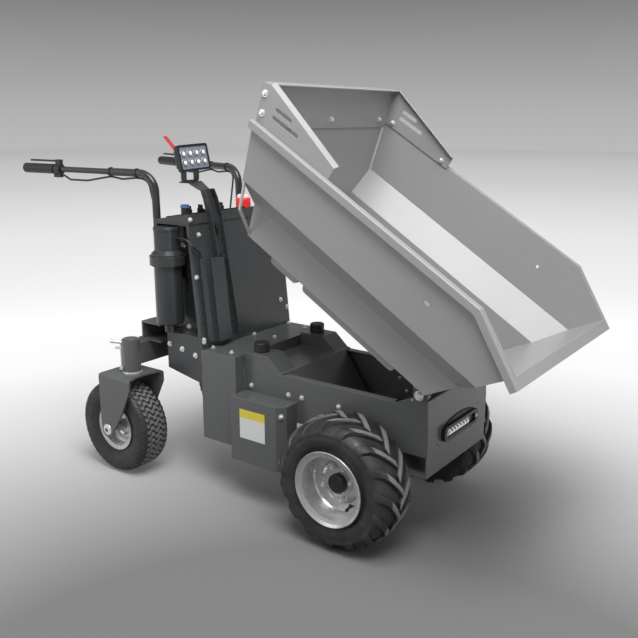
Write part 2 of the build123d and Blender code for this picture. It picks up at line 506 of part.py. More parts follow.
def tub():
    t, drop = BED_T, radians(DROP)
    ex, ez = XKINK + RIM_SLOPE * cos(drop), RIMZ - RIM_SLOPE * sin(drop)
    lx, lz = ex - LIP_FLANGE * cos(drop), ez + LIP_FLANGE * sin(drop)
    lip = hypot(lx - BED_X1, lz - FLZ)
    nx, nz = -(lz - FLZ) / lip * t, (lx - BED_X1) / lip * t
    xt = rear_x(RIMZ)
    side = [(xt, RIMZ), (BED_X0, FLZ), (BED_X1, FLZ), (lx, lz), (XKINK, RIMZ)]
    tx, over, flush = t * hypot(1, REAR_LEAN), 40.0, RIM_OUT - RIM_T
    run = (lx - BED_X1) / (lz - FLZ)
    room = [(rear_x(RIMZ + over) + tx, RIMZ + over), (rear_x(FLZ + t) + tx, FLZ + t)]
    room += [(BED_X1 + nx + run * (t - nz), FLZ + t), (lx + nx + run * over, lz + nz + over)]
    room += [(lx + nx + run * over, RIMZ + over)]
    s = trough(0, RIMZ) & prism("y", side, -400, 400)
    s -= trough(t, RIMZ + over) & prism("y", room, -400, 400)

    # rim folded outward: flat along the side, then down the slope to the lip
    def band(d0, d1, x0, reach):
        k = tan(drop / 2)
        end = lambda d: (XKINK + reach * cos(drop) - d * sin(drop), RIMZ - reach * sin(drop) - d * cos(drop))
        low = lambda d: [(x0, RIMZ - d), (XKINK - d * k, RIMZ - d), end(d)]
        return low(d0) + low(d1)[::-1]
    for sg in (-1, 1):
        f = prism("y", band(0, RIM_D, xt, RIM_SLOPE), sg * (WALL_OUT - 2), sg * RIM_OUT)
        mids = [((xt + XKINK) / 2, RIMZ), ((XKINK + ex) / 2, (RIMZ + ez) / 2)]
        crest = [e for e in f.edges() if abs(e.center().Y) > RIM_OUT - 0.1
                 and min(hypot(e.center().X - x, e.center().Z - z) for x, z in mids) < 1]
        f = fillet(crest, 3.5)
        low = lambda e: hypot(e.center().X - xt, e.center().Z - RIMZ + RIM_D) < 0.1
        f = fillet(f.edges().filter_by(Axis.Y).filter_by(low), 12)
        inside = band(RIM_T, RIM_D + 20, xt - 20, RIM_SLOPE + 30)
        f -= prism("y", inside, sg * (WALL_OUT - 9), sg * (RIM_OUT - RIM_T))
        s += f
    # the lip's flange, in the plane of the sloping rims
    root, deep = LIP_FLANGE + 3, RIM_T
    strip = [(0, 0), (-root, 0), (-root, -deep), (0, -deep)]
    strip = [(ex + a * cos(drop) + b * sin(drop), ez - a * sin(drop) + b * cos(drop)) for a, b in strip]
    s += prism("y", strip, -flush, flush)
    # drain hole in the far side, slot in the near one
    hole = WALL_OUT - TAPER * 80
    s -= rod("y", (-60, RIMZ - 78), 5, hole - 12, hole + 8)
    slot = box(-92, -74, -hole - 8, -hole + 12, RIMZ - 92, RIMZ - 84)
    s -= fillet(slot.edges().filter_by(Axis.Y), 3.9)
    put("bed_tub", to_bed(largest(s)))
    spill_board()
    under_frame()


def spill_board():
    # lapped inside the rear wall and the two sides: rear plate, its flange, wings
    tx, gap = SPILL_T * hypot(1, REAR_LEAN), BED_T * hypot(1, REAR_LEAN) + SEAT
    back = lambda z: rear_x(z) + gap
    z0, z1, foot = RIMZ - SPILL_LAP, RIMZ + SPILL_H, RIMZ - WING_LAP
    yw = WALL_OUT - BED_T - TAPER * WING_LAP - SEAT
    tilt = atan2(REAR_LEAN, 1)
    yr = WALL_OUT - BED_T - TAPER * SPILL_LAP - SEAT
    strip = lambda u, v: [(back(u), u), (back(u) + tx, u), (back(v) + tx, v), (back(v), v)]
    b = prism("y", strip(z0, foot), -yr, yr) + prism("y", strip(foot, z1), -yw, yw)
    fx, fz = back(z1) + 28 * cos(tilt), z1 + 28 * sin(tilt)
    fold = [(back(z1), z1), (fx, fz), (fx + SPILL_T * sin(tilt), fz - SPILL_T * cos(tilt))]
    fold += [(back(z1) + tx, z1 - SPILL_T)]
    b += prism("y", fold, -yw, yw)
    zw = RIMZ + WING_H
    wing = [(back(foot), foot), (WING_X - 2, foot), (WING_X, zw), (fx, fz), (back(z1), z1)]
    fall = atan2(fz - zw, WING_X - fx)
    for sg in (-1, 1):
        b += prism("y", wing, sg * yw, sg * (yw - SPILL_T))
        # flange along the wing's slanted edge, turned up by 25 degrees
        strip = Pos(fx, 0, fz) * Rot(0, degrees(fall), 0) * Pos(0, sg * yw, 0) * Rot(-sg * 25, 0, 0)
        b += strip * box(0, hypot(WING_X - fx, fz - zw), 0, -sg * 17, -SPILL_T, 0)
        for x0, x1, z in ((-727, -665, RIMZ + 61), (-727, -627, RIMZ + 38)):
            cut = box(x0, x1, sg * (yw + 2), sg * (yw - 5), z - 5.5, z + 5.5)
            b -= fillet(cut.edges().filter_by(Axis.Y), 5.4)
    put("spill_board", to_bed(largest(b)))


def under_frame():
    top = FLZ - SEAT
    u = box(-75, BED_X1, -235, 235, top - 4, top) + box(-590, -540, -235, 235, top - 4, top)
    for sg in (-1, 1):
        u += box(-593, -75, sg * 205, sg * 235, top - 4, top)
        for x0, x1 in ((-593, -480), (-457, -91)):
            rail = box(x0, x1, sg * 205, sg * 235, 20, top - 4)
            rail = fillet(rail.edges().filter_by(Axis.Y).sort_by(Axis.Z)[:2], 14)
            u += rail - box(x0 - 1, x1 + 1, sg * 204, sg * 231, 24, top - 4)
        ear = [(-70, top), (-70, 30), (-12, -18), (16, -16), (25, top)]
        u += prism("y", ear, sg * 168, sg * 178) + rod("y", (0, 0), EAR_R, sg * 168, sg * 178)
        lugs = [(EYE_X - 30, top), (EYE_X - 15, EYE_Z), (EYE_X + 15, EYE_Z), (EYE_X + 40, top)]
        u += prism("y", lugs, sg * 14, sg * 20)
        u += rod("y", (EYE_X, EYE_Z), 15, sg * 14, sg * 20)
    u += rod("y", (EYE_X, EYE_Z), EYE_R, -20, 20)
    u -= rod("y", (0, 0), PIN_R + 0.35, -200, 200)
    put("bed_underframe", to_bed(u))


def cylinder():
    th = radians(REST)
    dx = XP + EYE_X * cos(th) + EYE_Z * sin(th) - FOOT_X
    dz = ZP - EYE_X * sin(th) + EYE_Z * cos(th) - FOOT_Z
    length, angle = hypot(dx, dz), degrees(atan2(dz, dx))
    loc = Pos(FOOT_X, 0, FOOT_Z) * Rot(0, -angle, 0)
    b = rod("x", (0, 0), 22, 27, 165) + rod("x", (0, 0), 12, 12, 28) + rod("x", (0, 0), 24, 150, 165)
    b += rod("y", (0, 0), 16, -12, 12)
    b -= rod("x", (0, 0), 11.4, 34, 166) + rod("y", (0, 0), FOOT_R + 0.4, -30, 30)
    put("cylinder_barrel", loc * b)
    r = rod("x", (0, 0), 11, 85, length - 12) + rod("y", (length, 0), 19, -10, 10)
    put("cylinder_rod", loc * (r - rod("y", (length, 0), 2 * EYE_R + 0.3, -20, 20)))
    return length, angle


chassis()
drive()
deck()
tower()
power_unit()
handlebars()
front_lamp()
rear()
front_wheels()
tub()
reach = cylinder()

bounds = [s.bounding_box() for s in PARTS.values()]
x0, x1 = min(b.min.X for b in bounds), max(b.max.X for b in bounds)
shift = -(x0 + x1) / 2
for name, s in PARTS.items():
    solids = s.solids()
    if len(solids) != 1:
        print("WARNING", name, len(solids), "solids")
    export_step(Pos(shift, 0, 0) * (solids[0] if len(solids) == 1 else s), "parts/" + name + ".step")
print("shift", round(shift, 3), "nodes", len(PARTS), "x", round(x0, 1), round(x1, 1))
print("cylinder", [round(v, 2) for v in reach])
for a in "XYZ":
    ends = min(getattr(b.min, a) for b in bounds), max(getattr(b.max, a) for b in bounds)
    print(a, *(round(v, 2) for v in ends))
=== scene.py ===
# %% [markdown]
# # A walk-behind site dumper, dressed
# The solids of this machine come packed, with their joints. This file gives them their paint,
# rubber and steel, and adds what is too fine for a solid: tread, bolts, lamps, switches.
# Every new piece is shaped with bmesh operators and rides on the body that carries it.

# %% Load the solids
import math
import bmesh
import bpy
from mathutils import Matrix, Vector


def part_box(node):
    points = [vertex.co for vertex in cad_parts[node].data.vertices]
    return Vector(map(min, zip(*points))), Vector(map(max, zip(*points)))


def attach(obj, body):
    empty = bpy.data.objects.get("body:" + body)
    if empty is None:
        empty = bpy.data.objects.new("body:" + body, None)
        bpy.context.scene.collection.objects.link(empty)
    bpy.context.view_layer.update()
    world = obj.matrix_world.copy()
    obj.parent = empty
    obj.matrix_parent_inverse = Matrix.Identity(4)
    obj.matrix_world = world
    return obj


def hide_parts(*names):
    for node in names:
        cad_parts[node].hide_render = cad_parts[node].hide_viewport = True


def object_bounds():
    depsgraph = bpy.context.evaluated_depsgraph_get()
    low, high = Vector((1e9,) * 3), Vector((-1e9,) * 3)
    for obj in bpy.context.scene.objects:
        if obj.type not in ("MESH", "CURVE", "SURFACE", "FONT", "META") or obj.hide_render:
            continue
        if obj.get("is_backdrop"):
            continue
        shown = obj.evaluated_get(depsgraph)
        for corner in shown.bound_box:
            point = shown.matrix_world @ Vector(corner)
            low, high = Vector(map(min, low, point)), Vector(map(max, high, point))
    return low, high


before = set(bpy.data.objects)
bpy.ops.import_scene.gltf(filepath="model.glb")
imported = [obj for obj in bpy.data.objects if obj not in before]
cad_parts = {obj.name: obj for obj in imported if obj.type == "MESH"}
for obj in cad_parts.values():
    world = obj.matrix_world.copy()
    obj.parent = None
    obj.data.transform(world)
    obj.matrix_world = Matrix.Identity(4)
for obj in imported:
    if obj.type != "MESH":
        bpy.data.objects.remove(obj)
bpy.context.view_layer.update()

# %% [markdown]
# ## Two ways to say where something is
# On the machine, places are easiest to give in millimetres from the front axle, and on the tipped
# bed along its own floor. Both are turned into metres of the shared frame by a small function each.
# One origin for all would do as well, but then every place on the slope would need sums by hand.

# %% Places on the machine and on the bed
AXLE = (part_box("front_rim_right")[0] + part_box("front_rim_right")[1]) / 2
CASTER = (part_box("caster_rim_right")[0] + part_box("caster_rim_right")[1]) / 2
MM = 0.001
SIDES = (("left", 1), ("right", -1))
PIVOT_X, PIVOT_Z, TIPPED = 197.4, 477.7, math.radians(31.7)
WHEEL_Y, AXLE_Z = 283, 200


def at(x, y, z):
    """A point in millimetres from the front axle, in metres of the frame."""
    return Vector((AXLE.x + x * MM, y * MM, z * MM))


def bed_at(x, y, z):
    """A point given along the bed's own floor, with the bed as it stands tipped."""
    turned_x = PIVOT_X + x * math.cos(TIPPED) + z * math.sin(TIPPED)
    return at(turned_x, y, PIVOT_Z - x * math.sin(TIPPED) + z * math.cos(TIPPED))


def bed_turn(vector):
    """A direction of the bed's own frame, as it stands tipped."""
    return Matrix.Rotation(TIPPED, 3, "Y") @ Vector(vector)


print("front axle", [round(v, 3) for v in AXLE], "caster axle", [round(v, 3) for v in CASTER])

# %% [markdown]
# ## Camera
# A machine like this is shown from its front right corner and a little above, so that the open bed,
# the side and the front plate all show. A long lens keeps its upright edges nearly straight. The
# camera could be aimed by a constraint, but a place and two angles need nothing else in the scene.

# %% Camera
camera = bpy.data.objects.new("camera", bpy.data.cameras.new("camera"))
bpy.context.collection.objects.link(camera)
LOOKS_DOWN, TURNED = 14.17, 36.16
camera.data.lens = 44.59
camera.data.sensor_width = 36.0
camera.location = (1.5951, -2.0211, 1.2160)
camera.rotation_euler = (math.radians(90 - LOOKS_DOWN), 0, math.radians(TURNED))
bpy.context.scene.camera = camera
print("camera looks down", LOOKS_DOWN, "degrees and is turned by", TURNED)


# %% [markdown]
# ## Finishes
# Powder coat, rubber, zinc and plastic differ in three things: how the colour drifts over the
# surface, how glossy it is, and how fine its relief is. Each finish here takes all three from noise
# on the object's own coordinates, so the pattern keeps its scale on every piece. The few helpers
# below each add one kind of node, so that a finish reads as a short list of what it is made of.

# %% Node helpers
COLOUR_A, COLOUR_B, COLOUR_OUT = 6, 7, 2        # the Mix node's sockets for colours


def new_material(name):
    """A node material with its Principled shader."""
    made = bpy.data.materials.new(name)
    made.use_nodes = True
    return made, made.node_tree, made.node_tree.nodes["Principled BSDF"]


def noise(tree, scale, detail=3.0, stretch=(1, 1, 1)):
    """Noise on the object's own coordinates, in metres."""
    place = tree.nodes.new("ShaderNodeTexCoord")
    turn = tree.nodes.new("ShaderNodeMapping")
    turn.inputs["Scale"].default_value = stretch
    out = tree.nodes.new("ShaderNodeTexNoise")
    out.inputs["Scale"].default_value = scale
    out.inputs["Detail"].default_value = detail
    tree.links.new(place.outputs["Object"], turn.inputs["Vector"])
    tree.links.new(turn.outputs["Vector"], out.inputs["Vector"])
    return out.outputs["Fac"]


def remap(tree, value, low, high, to_low, to_high):
    """Stretches a value from one range to another."""
    out = tree.nodes.new("ShaderNodeMapRange")
    ends = {"From Min": low, "From Max": high, "To Min": to_low, "To Max": to_high}
    for key, number in ends.items():
        out.inputs[key].default_value = number
    tree.links.new(value, out.inputs["Value"])
    return out.outputs["Result"]


def mix(tree, fac, a, b):
    """Mixes two colours by a factor; each is a colour or a socket."""
    out = tree.nodes.new("ShaderNodeMix")
    out.data_type = "RGBA"
    tree.links.new(fac, out.inputs["Factor"])
    for socket, value in ((out.inputs[COLOUR_A], a), (out.inputs[COLOUR_B], b)):
        if isinstance(value, tuple):
            socket.default_value = value
        else:
            tree.links.new(value, socket)
    return out.outputs[COLOUR_OUT]


def relief(tree, shader, height, strength, depth, over=None):
    """Raises the surface a little by a height."""
    bump = tree.nodes.new("ShaderNodeBump")
    bump.inputs["Strength"].default_value = strength
    bump.inputs["Distance"].default_value = depth
    tree.links.new(height, bump.inputs["Height"])
    if over:
        tree.links.new(over, bump.inputs["Normal"])
    tree.links.new(bump.outputs["Normal"], shader.inputs["Normal"])


def grey(level, blue=0.0):
    """A grey, with a little more blue in it where asked."""
    return (level, level * (1 + blue * 0.5), level * (1 + blue), 1.0)


print("a bluish grey", [round(v, 4) for v in grey(0.1, 0.12)])


# %% [markdown]
# ### Powder coat
# Sheet steel that is bent and sprayed shows three things up close: a faint cloudiness, the fine
# skin of an orange, and paler edges. Those edges are partly wear, where the coat is thin, and partly
# a painted highlight: the light that a bent edge catches is put into the colour. Worn edges could be
# painted on by hand. The Bevel node finds them without that and without a change to the mesh,
# because its normal leaves the flat one only near a corner. The tower's sheet is thin, so there the
# node looks for edges over a shorter way.

# %% Paint
def paint(name, base, dark, pale_colour, rough, edge_by=0.0018):
    """Powder coat: a faint cloudiness, an orange peel skin and paler edges, partly wear and partly
    painted highlight.
    """
    made, tree, shader = new_material(name)
    cloud = remap(tree, noise(tree, 3.0, 4.0), 0.35, 0.65, 0.0, 1.0)
    edge = tree.nodes.new("ShaderNodeBevel")
    edge.samples = 4
    edge.inputs["Radius"].default_value = edge_by
    flat = tree.nodes.new("ShaderNodeNewGeometry")
    turn = tree.nodes.new("ShaderNodeVectorMath")
    turn.operation = "DOT_PRODUCT"
    tree.links.new(edge.outputs["Normal"], turn.inputs[0])
    tree.links.new(flat.outputs["Normal"], turn.inputs[1])
    # Near edges the colour moves to the pale one: partly wear, partly a painted highlight.
    edge_highlight_and_wear = remap(tree, turn.outputs["Value"], 0.99, 0.80, 0.0, 0.6)
    colour = mix(tree, edge_highlight_and_wear, mix(tree, cloud, base, dark), pale_colour)
    tree.links.new(colour, shader.inputs["Base Color"])
    gloss = remap(tree, noise(tree, 40.0, 5.0), 0.3, 0.7, rough - 0.02, rough + 0.02)
    tree.links.new(gloss, shader.inputs["Roughness"])
    relief(tree, shader, noise(tree, 420.0, 2.0), 0.02, 0.0004, edge.outputs["Normal"])
    return made


# The third grey of each paint is its edge colour: wear and a painted highlight together.
BED_PAINT = paint("bed_paint", grey(0.335), grey(0.318), grey(0.74), 0.34)
CHASSIS_PAINT = paint("chassis_paint", grey(0.112, 0.05), grey(0.106, 0.05), grey(0.36), 0.24)
TOWER_PAINT = paint("tower_paint", grey(0.050, 0.12), grey(0.047, 0.12), grey(0.26), 0.28, 0.0009)
BLACK_PAINT = paint("black_paint", grey(0.034, 0.14), grey(0.028, 0.14), grey(0.20), 0.22)
print("paints", BED_PAINT.name, CHASSIS_PAINT.name, TOWER_PAINT.name, BLACK_PAINT.name)


# %% [markdown]
# ### Plain finishes
# Zinc, moulded plastic and plain rubber need no drift of colour, only a grain that the light breaks
# on. Each could be built by hand in the node editor. One function makes them all from a few
# numbers, so the finishes stand under one another like a colour card and are easy to compare.

# %% Plain finishes
def plain(name, base, rough, metallic=0.0, grain=300.0, bump_by=0.05, glow=0.0):
    """A finish with a fine grain in colour, gloss and relief."""
    made, tree, shader = new_material(name)
    speck = noise(tree, grain)
    darker = tuple(c * 0.90 for c in base[:3]) + (1.0,)
    tree.links.new(mix(tree, speck, base, darker), shader.inputs["Base Color"])
    gloss = remap(tree, speck, 0.3, 0.7, rough - 0.05, rough + 0.05)
    tree.links.new(gloss, shader.inputs["Roughness"])
    shader.inputs["Metallic"].default_value = metallic
    if glow:
        shader.inputs["Emission Color"].default_value = base
        shader.inputs["Emission Strength"].default_value = glow
    if bump_by:
        relief(tree, shader, speck, bump_by, 0.0005)
    return made


RIM_SILVER = plain("rim_silver", grey(0.60), 0.30, 0.75, 60.0, 0.0)
ZINC = plain("zinc", grey(0.86), 0.24, 0.6)
PLASTIC = plain("plastic", grey(0.016), 0.42)
RUBBER = plain("rubber", grey(0.020), 0.5, 0.0, 180.0, 0.15)
SHAFT = plain("shaft_steel", grey(0.62), 0.22, 1.0, 90.0)
CAST = plain("cast_case", grey(0.05), 0.6, 0.3, 160.0, 0.3)
# The beacon and its clear top glow a little though they light nothing: a painted glow.
BEACON_RED = plain("beacon_red", (0.75, 0.03, 0.03, 1.0), 0.18, glow=0.25)
LENS_CLEAR = plain("lens_clear", (0.86, 0.66, 0.64, 1.0), 0.12, glow=0.15)
LEVER_RED = plain("lever_red", (0.62, 0.03, 0.035, 1.0), 0.30)
KNOB_BLUE = plain("knob_blue", (0.07, 0.12, 0.36, 1.0), 0.35)
# The white of the LEDs and of the front lamp's window glows a little though it lights nothing: a
# painted glow.
LED_WHITE = plain("led_white", (0.92, 0.92, 0.90, 1.0), 0.15, glow=0.30)
LAMP_GLASS = plain("lamp_glass", (0.30, 0.33, 0.42, 1.0), 0.10, 0.3)
REFLECTOR = plain("reflector", grey(0.62, 0.08), 0.12, 0.8)
SIGN_YELLOW = plain("sign_yellow", (0.80, 0.66, 0.06, 1.0), 0.35)
SIGN_WHITE = plain("sign_white", (0.76, 0.78, 0.77, 1.0), 0.35)
# The weld's grey is paler than the paint over it: a painted highlight along the seams.
WELD_PAINTED_HIGHLIGHT = plain("weld", grey(0.62), 0.40, 0.2, 260.0, 0.9)
print("finishes so far", len(bpy.data.materials))


# %% [markdown]
# ### Tyre rubber
# New rubber is nearly black, but what has touched the ground is worn pale and dusty. A painted mask
# could show that. Here the wear follows the distance from the axle, which needs no painting, fits
# every lug of the tread, and stays right when the wheel turns.

# %% Tyre rubber
def tyre_rubber(name, axle, worn_from, worn_to, pale_colour):
    """Dark rubber that pales where it is far from its axle and has met the ground."""
    made, tree, shader = new_material(name)
    place = tree.nodes.new("ShaderNodeTexCoord")
    centre = tree.nodes.new("ShaderNodeMapping")
    centre.vector_type = "POINT"
    centre.inputs["Location"].default_value = (-axle.x, 0, -axle.z)
    flat = tree.nodes.new("ShaderNodeVectorMath")
    flat.operation = "MULTIPLY"
    flat.inputs[1].default_value = (1, 0, 1)
    far = tree.nodes.new("ShaderNodeVectorMath")
    far.operation = "LENGTH"
    tree.links.new(place.outputs["Object"], centre.inputs["Vector"])
    tree.links.new(centre.outputs["Vector"], flat.inputs[0])
    tree.links.new(flat.outputs["Vector"], far.inputs[0])
    cloud = remap(tree, noise(tree, 22.0, 6.0), 0.35, 0.7, 0.0, 1.0)
    dust = mix(tree, cloud, grey(0.020), grey(0.040))
    touched = remap(tree, far.outputs["Value"], worn_from, worn_to, 0.0, 1.0)
    tree.links.new(mix(tree, touched, dust, pale_colour), shader.inputs["Base Color"])
    gloss = remap(tree, noise(tree, 60.0), 0.3, 0.7, 0.42, 0.7)
    tree.links.new(gloss, shader.inputs["Roughness"])
    relief(tree, shader, noise(tree, 500.0, 4.0), 0.25, 0.0006)
    return made


FRONT_RUBBER = tyre_rubber("front_rubber", AXLE, 0.1950, 0.1968, grey(0.20))
CASTER_RUBBER = tyre_rubber("caster_rubber", CASTER, 0.1612, 0.1630, grey(0.17))
print("rubber", FRONT_RUBBER.name, CASTER_RUBBER.name)

# %% [markdown]
# ### Which solid wears which finish
# The solids of the frame keep their shapes and only get a material. It could be set piece by piece,
# but one table shows what belongs together, and the last line tells of any solid left out.

# %% Finishes on the solids
FINISHES = (
    (BED_PAINT, ("bed_tub", "spill_board", "bed_underframe")),
    (CHASSIS_PAINT, ("chassis_frame", "chassis_top", "rear_deck", "control_box", "battery_box",
                     "caster_beam", "beam_bracket", "caster_fork_left", "caster_fork_right")),
    (TOWER_PAINT, ("tower_cabinet", "tower_lid", "cable_cover", "lamp_post")),
    (BLACK_PAINT, ("pump_tank", "pump_clamp", "pump_motor", "handlebar_left", "handlebar_right",
                   "cylinder_barrel")),
    (CAST, ("transaxle",)),
    (RIM_SILVER, ("front_rim_left", "front_rim_right", "caster_rim_left", "caster_rim_right")),
    (FRONT_RUBBER, ("front_tyre_left", "front_tyre_right")),
    (CASTER_RUBBER, ("caster_tyre_left", "caster_tyre_right")),
    (RUBBER, ("bed_buffer_left", "bed_buffer_right", "grip_left", "grip_right", "pump_cable",
              "lever_cable_left", "lever_cable_right")),
    (PLASTIC, ("lever_clamp_left", "lever_clamp_right", "work_lamp", "control_panel",
               "front_lamp")),
    (SHAFT, ("hinge_shaft", "cylinder_rod")),
    (BEACON_RED, ("beacon",)),
)
for finish, names in FINISHES:
    for name in names:
        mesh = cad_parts[name].data
        mesh.materials.clear()
        mesh.materials.append(finish)
print("solids without a finish", set(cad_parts) - {n for _, names in FINISHES for n in names})


# %% [markdown]
# ## Making a piece
# A new piece starts as an empty bmesh. When its shape is done it becomes an object at the origin,
# its faces are turned outwards, it gets its finish, and it is told which body it rides on. All
# pieces go through the same function, so none can be left without a body or a finish.
# Fasteners and knobs are lathe work on the real machine, so they are stacks of turned parts here.

# %% Helpers for new pieces
def done(mesh, name, finish, body, slot, sharp=32.0):
    """Turns a bmesh into a finished piece that rides on a body."""
    bmesh.ops.recalc_face_normals(mesh, faces=mesh.faces[:])
    data = bpy.data.meshes.new(name)
    mesh.to_mesh(data)
    mesh.free()
    for face in data.polygons:
        face.use_smooth = True
    data.set_sharp_from_angle(angle=math.radians(sharp))
    data.materials.append(finish)
    made = bpy.data.objects.new(name, data)
    bpy.context.collection.objects.link(made)
    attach(made, body)
    print(name, "faces", len(data.polygons), "on", body)
    return made


def aim(place, axis):
    """The matrix that stands a shape's Z on an axis at a place."""
    return Matrix.Translation(place) @ Vector(axis).to_track_quat("Z", "Y").to_matrix().to_4x4()


def disc(mesh, matrix, radius, low, high, top=None, sides=24):
    """A round or many-sided block from one height to another along a matrix's Z."""
    lift = Matrix.Translation((0, 0, (low + high) / 2))
    made = bmesh.ops.create_cone(mesh, cap_ends=True, segments=sides, radius1=radius,
                                 radius2=radius if top is None else top, depth=high - low,
                                 matrix=matrix @ lift)
    return made["verts"]


def stack(mesh, matrix, parts):
    """Turned parts on one axis: each is radius, foot, top, top radius and sides, in millimetres."""
    for radius, foot, top, top_radius, sides in parts:
        disc(mesh, matrix, radius * MM, foot * MM, top * MM, top_radius * MM, sides)


def block(mesh, matrix, size, round_by=0.0):
    """A block of a size about a matrix's origin, its edges rounded."""
    made = bmesh.ops.create_cube(mesh, size=1.0, matrix=matrix @ Matrix.Diagonal((*size, 1)))
    if round_by:
        edges = list({e for v in made["verts"] for e in v.link_edges})
        bmesh.ops.bevel(mesh, geom=edges, offset=round_by, segments=2, profile=0.5,
                        affect="EDGES", material=-1)
    return made["verts"]


def touch(node, start, way):
    """Where a line from a point meets a solid of the frame, and how its face looks there."""
    hit, place, normal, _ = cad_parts[node].ray_cast(start, Vector(way).normalized())
    if not hit:
        raise ValueError("no face of " + node + " on that line")
    return place, normal


print("helpers", [made.__name__ for made in (done, aim, disc, stack, block, touch)])

# %% [markdown]
# ## Tyres
# A tyre is a turned body with raised rubber on it. The body is one profile spun about the axle.
# Each bar of the tread is a small face that is extruded from station to station across the tyre,
# turned a little at each, so it curves as a moulded lug does. Relief in the material would be
# cheaper, but it would not break the tyre's outline, which is where tread is seen first.

# %% Body of a tyre
SPIN_STEPS = 96


def spun(mesh, profile):
    """Spins a half profile of (across, radius) and its mirror image about the Y axis."""
    line = [(-y, r) for y, r in profile] + [(y, r) for y, r in reversed(profile)]
    verts = [mesh.verts.new((0, y * MM, r * MM)) for y, r in line]
    verts = [v for i, v in enumerate(verts) if i == 0 or (v.co - verts[i - 1].co).length > 1e-6]
    edges = [mesh.edges.new(pair) for pair in zip(verts, verts[1:])]
    bmesh.ops.spin(mesh, geom=verts + edges, cent=(0, 0, 0), axis=(0, 1, 0), angle=math.tau,
                   steps=SPIN_STEPS, use_merge=True, use_duplicate=False)
    bmesh.ops.delete(mesh, geom=[v for v in mesh.verts if not v.link_faces], context="VERTS")


def bar(mesh, stations, turn, round_by=0.0):
    """A raised bar: stations of (across, degrees round, top radius, foot radius, half width)."""
    rings = []
    for across, lag, top, foot, half in stations:
        spin = Matrix.Rotation(-math.radians(turn + lag), 4, "Y")
        corners = ((foot, half + 2), (top, half), (top, -half), (foot, -half - 2))
        rings.append([spin @ Vector((r * MM, across * MM, t * MM)) for r, t in corners])
    verts = [mesh.verts.new(p) for p in rings[0]]
    face = mesh.faces.new(verts)
    every = set(verts)
    for before, after in zip(rings, rings[1:]):
        made = bmesh.ops.extrude_face_region(mesh, geom=[face])["geom"]
        face = next(g for g in made if isinstance(g, bmesh.types.BMFace))
        for vert in face.verts:
            near = min(range(4), key=lambda i: (vert.co - before[i]).length)
            vert.co = after[near]
            every.add(vert)
    if round_by:
        edges = list({e for v in every for e in v.link_edges if len(e.link_faces) == 2})
        bmesh.ops.bevel(mesh, geom=edges, offset=round_by, segments=2, profile=0.5,
                        affect="EDGES", material=-1)


def other_side(stations):
    """The same bar on the other side of the tyre's middle."""
    return [(-across, *rest) for across, *rest in stations]


def fit_wheel(mesh, axle, side):
    """Moves a wheel piece from its own axle to the machine's, outer side outwards."""
    if side < 0:
        bmesh.ops.scale(mesh, vec=(1, -1, 1), verts=mesh.verts[:])
    bmesh.ops.translate(mesh, vec=(axle.x, side * abs(axle.y), axle.z), verts=mesh.verts[:])


print("one step of the spin", round(math.degrees(math.tau / SPIN_STEPS), 2), "degrees")

# %% [markdown]
# ### Lugged front tyres
# The drive tyres carry fifteen pairs of bars that point forward in a V. Every bar is highest and
# narrowest in the middle and runs down over the shoulder, where mud is thrown out. A table of
# stations across the tyre holds the bar's whole curve in seven rows, and a loop sets it round.

# %% Front tyres
# across and radius, from the bead to the middle of the tread
FRONT_PROFILE = ((65.5, 100.3), (67.6, 112), (71, 118), (75, 124), (78.6, 133), (80.4, 143),
                 (79.8, 152), (78.2, 159), (78.9, 162), (77.6, 165.5), (72, 171), (65, 177),
                 (56, 182), (40, 184.6), (20, 186), (0, 186.6))
# across, degrees round, top radius, foot radius and half width
FRONT_BAR = ((-5, -1.5, 199.2, 180, 10.5), (12, 4.5, 199.3, 180, 11), (30, 11, 198.9, 180, 12),
             (48, 17, 196.2, 176, 13), (63, 21.5, 190, 168, 14), (73, 24.2, 179, 160, 14.5),
             (79, 25.8, 168, 150, 14))
FRONT_PAIRS, LUG_ROUND, TYRE_SHARP = 15, 2.2, 40.0
pitch = 360 / FRONT_PAIRS
for name, side in SIDES:
    tyre = bmesh.new()
    for pair in range(FRONT_PAIRS):
        bar(tyre, FRONT_BAR, pitch * (pair + 0.25), LUG_ROUND * MM)
        bar(tyre, other_side(FRONT_BAR), pitch * (pair + 0.75), LUG_ROUND * MM)
    spun(tyre, FRONT_PROFILE)
    fit_wheel(tyre, AXLE, side)
    piece = done(tyre, "lugged_tyre_" + name, FRONT_RUBBER, "front_wheel_" + name,
                 "tyre_rubber", TYRE_SHARP)
    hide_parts("front_tyre_" + name)

# %% [markdown]
# ### Turf tyres of the casters
# The swivelling wheels wear a finer tread of small bent blocks in five rows, staggered by half a
# pitch, with a row of short bars down each shoulder. Each block is a bar with a bend in its middle,
# so the function that made the big lugs makes these too. There are hundreds, so they stay plain.

# %% Caster tyres
CASTER_PROFILE = ((40.4, 76.3), (43, 85), (46, 92), (50.5, 98), (54.5, 106), (57, 113), (58.6, 115),
                  (58.8, 120), (60.2, 131), (60.4, 141), (58.6, 148), (54, 154), (46, 158),
                  (30, 160.4), (0, 161))
# across, share of a pitch by which the row is staggered, and top radius
BLOCK_ROWS = ((-33, 0.5, 162.8), (-16.5, 0, 164.4), (0, 0.5, 164.8), (16.5, 0, 164.4),
              (33, 0.5, 162.8))
BLOCK_COUNT, BLOCK_HALF, BLOCK_BEND, BLOCK_FOOT, BLOCK_WIDE = 46, 7.7, 2.4, 156, 5.4
BLOCK_STATIONS = (-1, -0.3, 0.3, 1)
SHOULDER_BAR = ((46, 0, 160.6, 152, 5.2), (54, 0.8, 156.4, 147, 5.2), (60.6, 1.6, 147, 138, 4.6))
pitch = 360 / BLOCK_COUNT


def bent_block(across, top, bend):
    """The stations of one small block, wider at its ends and bent in its middle."""
    return [(across + share * BLOCK_HALF, bend * (0.5 - abs(share)), top, BLOCK_FOOT,
             BLOCK_WIDE + 0.8 * abs(share)) for share in BLOCK_STATIONS]


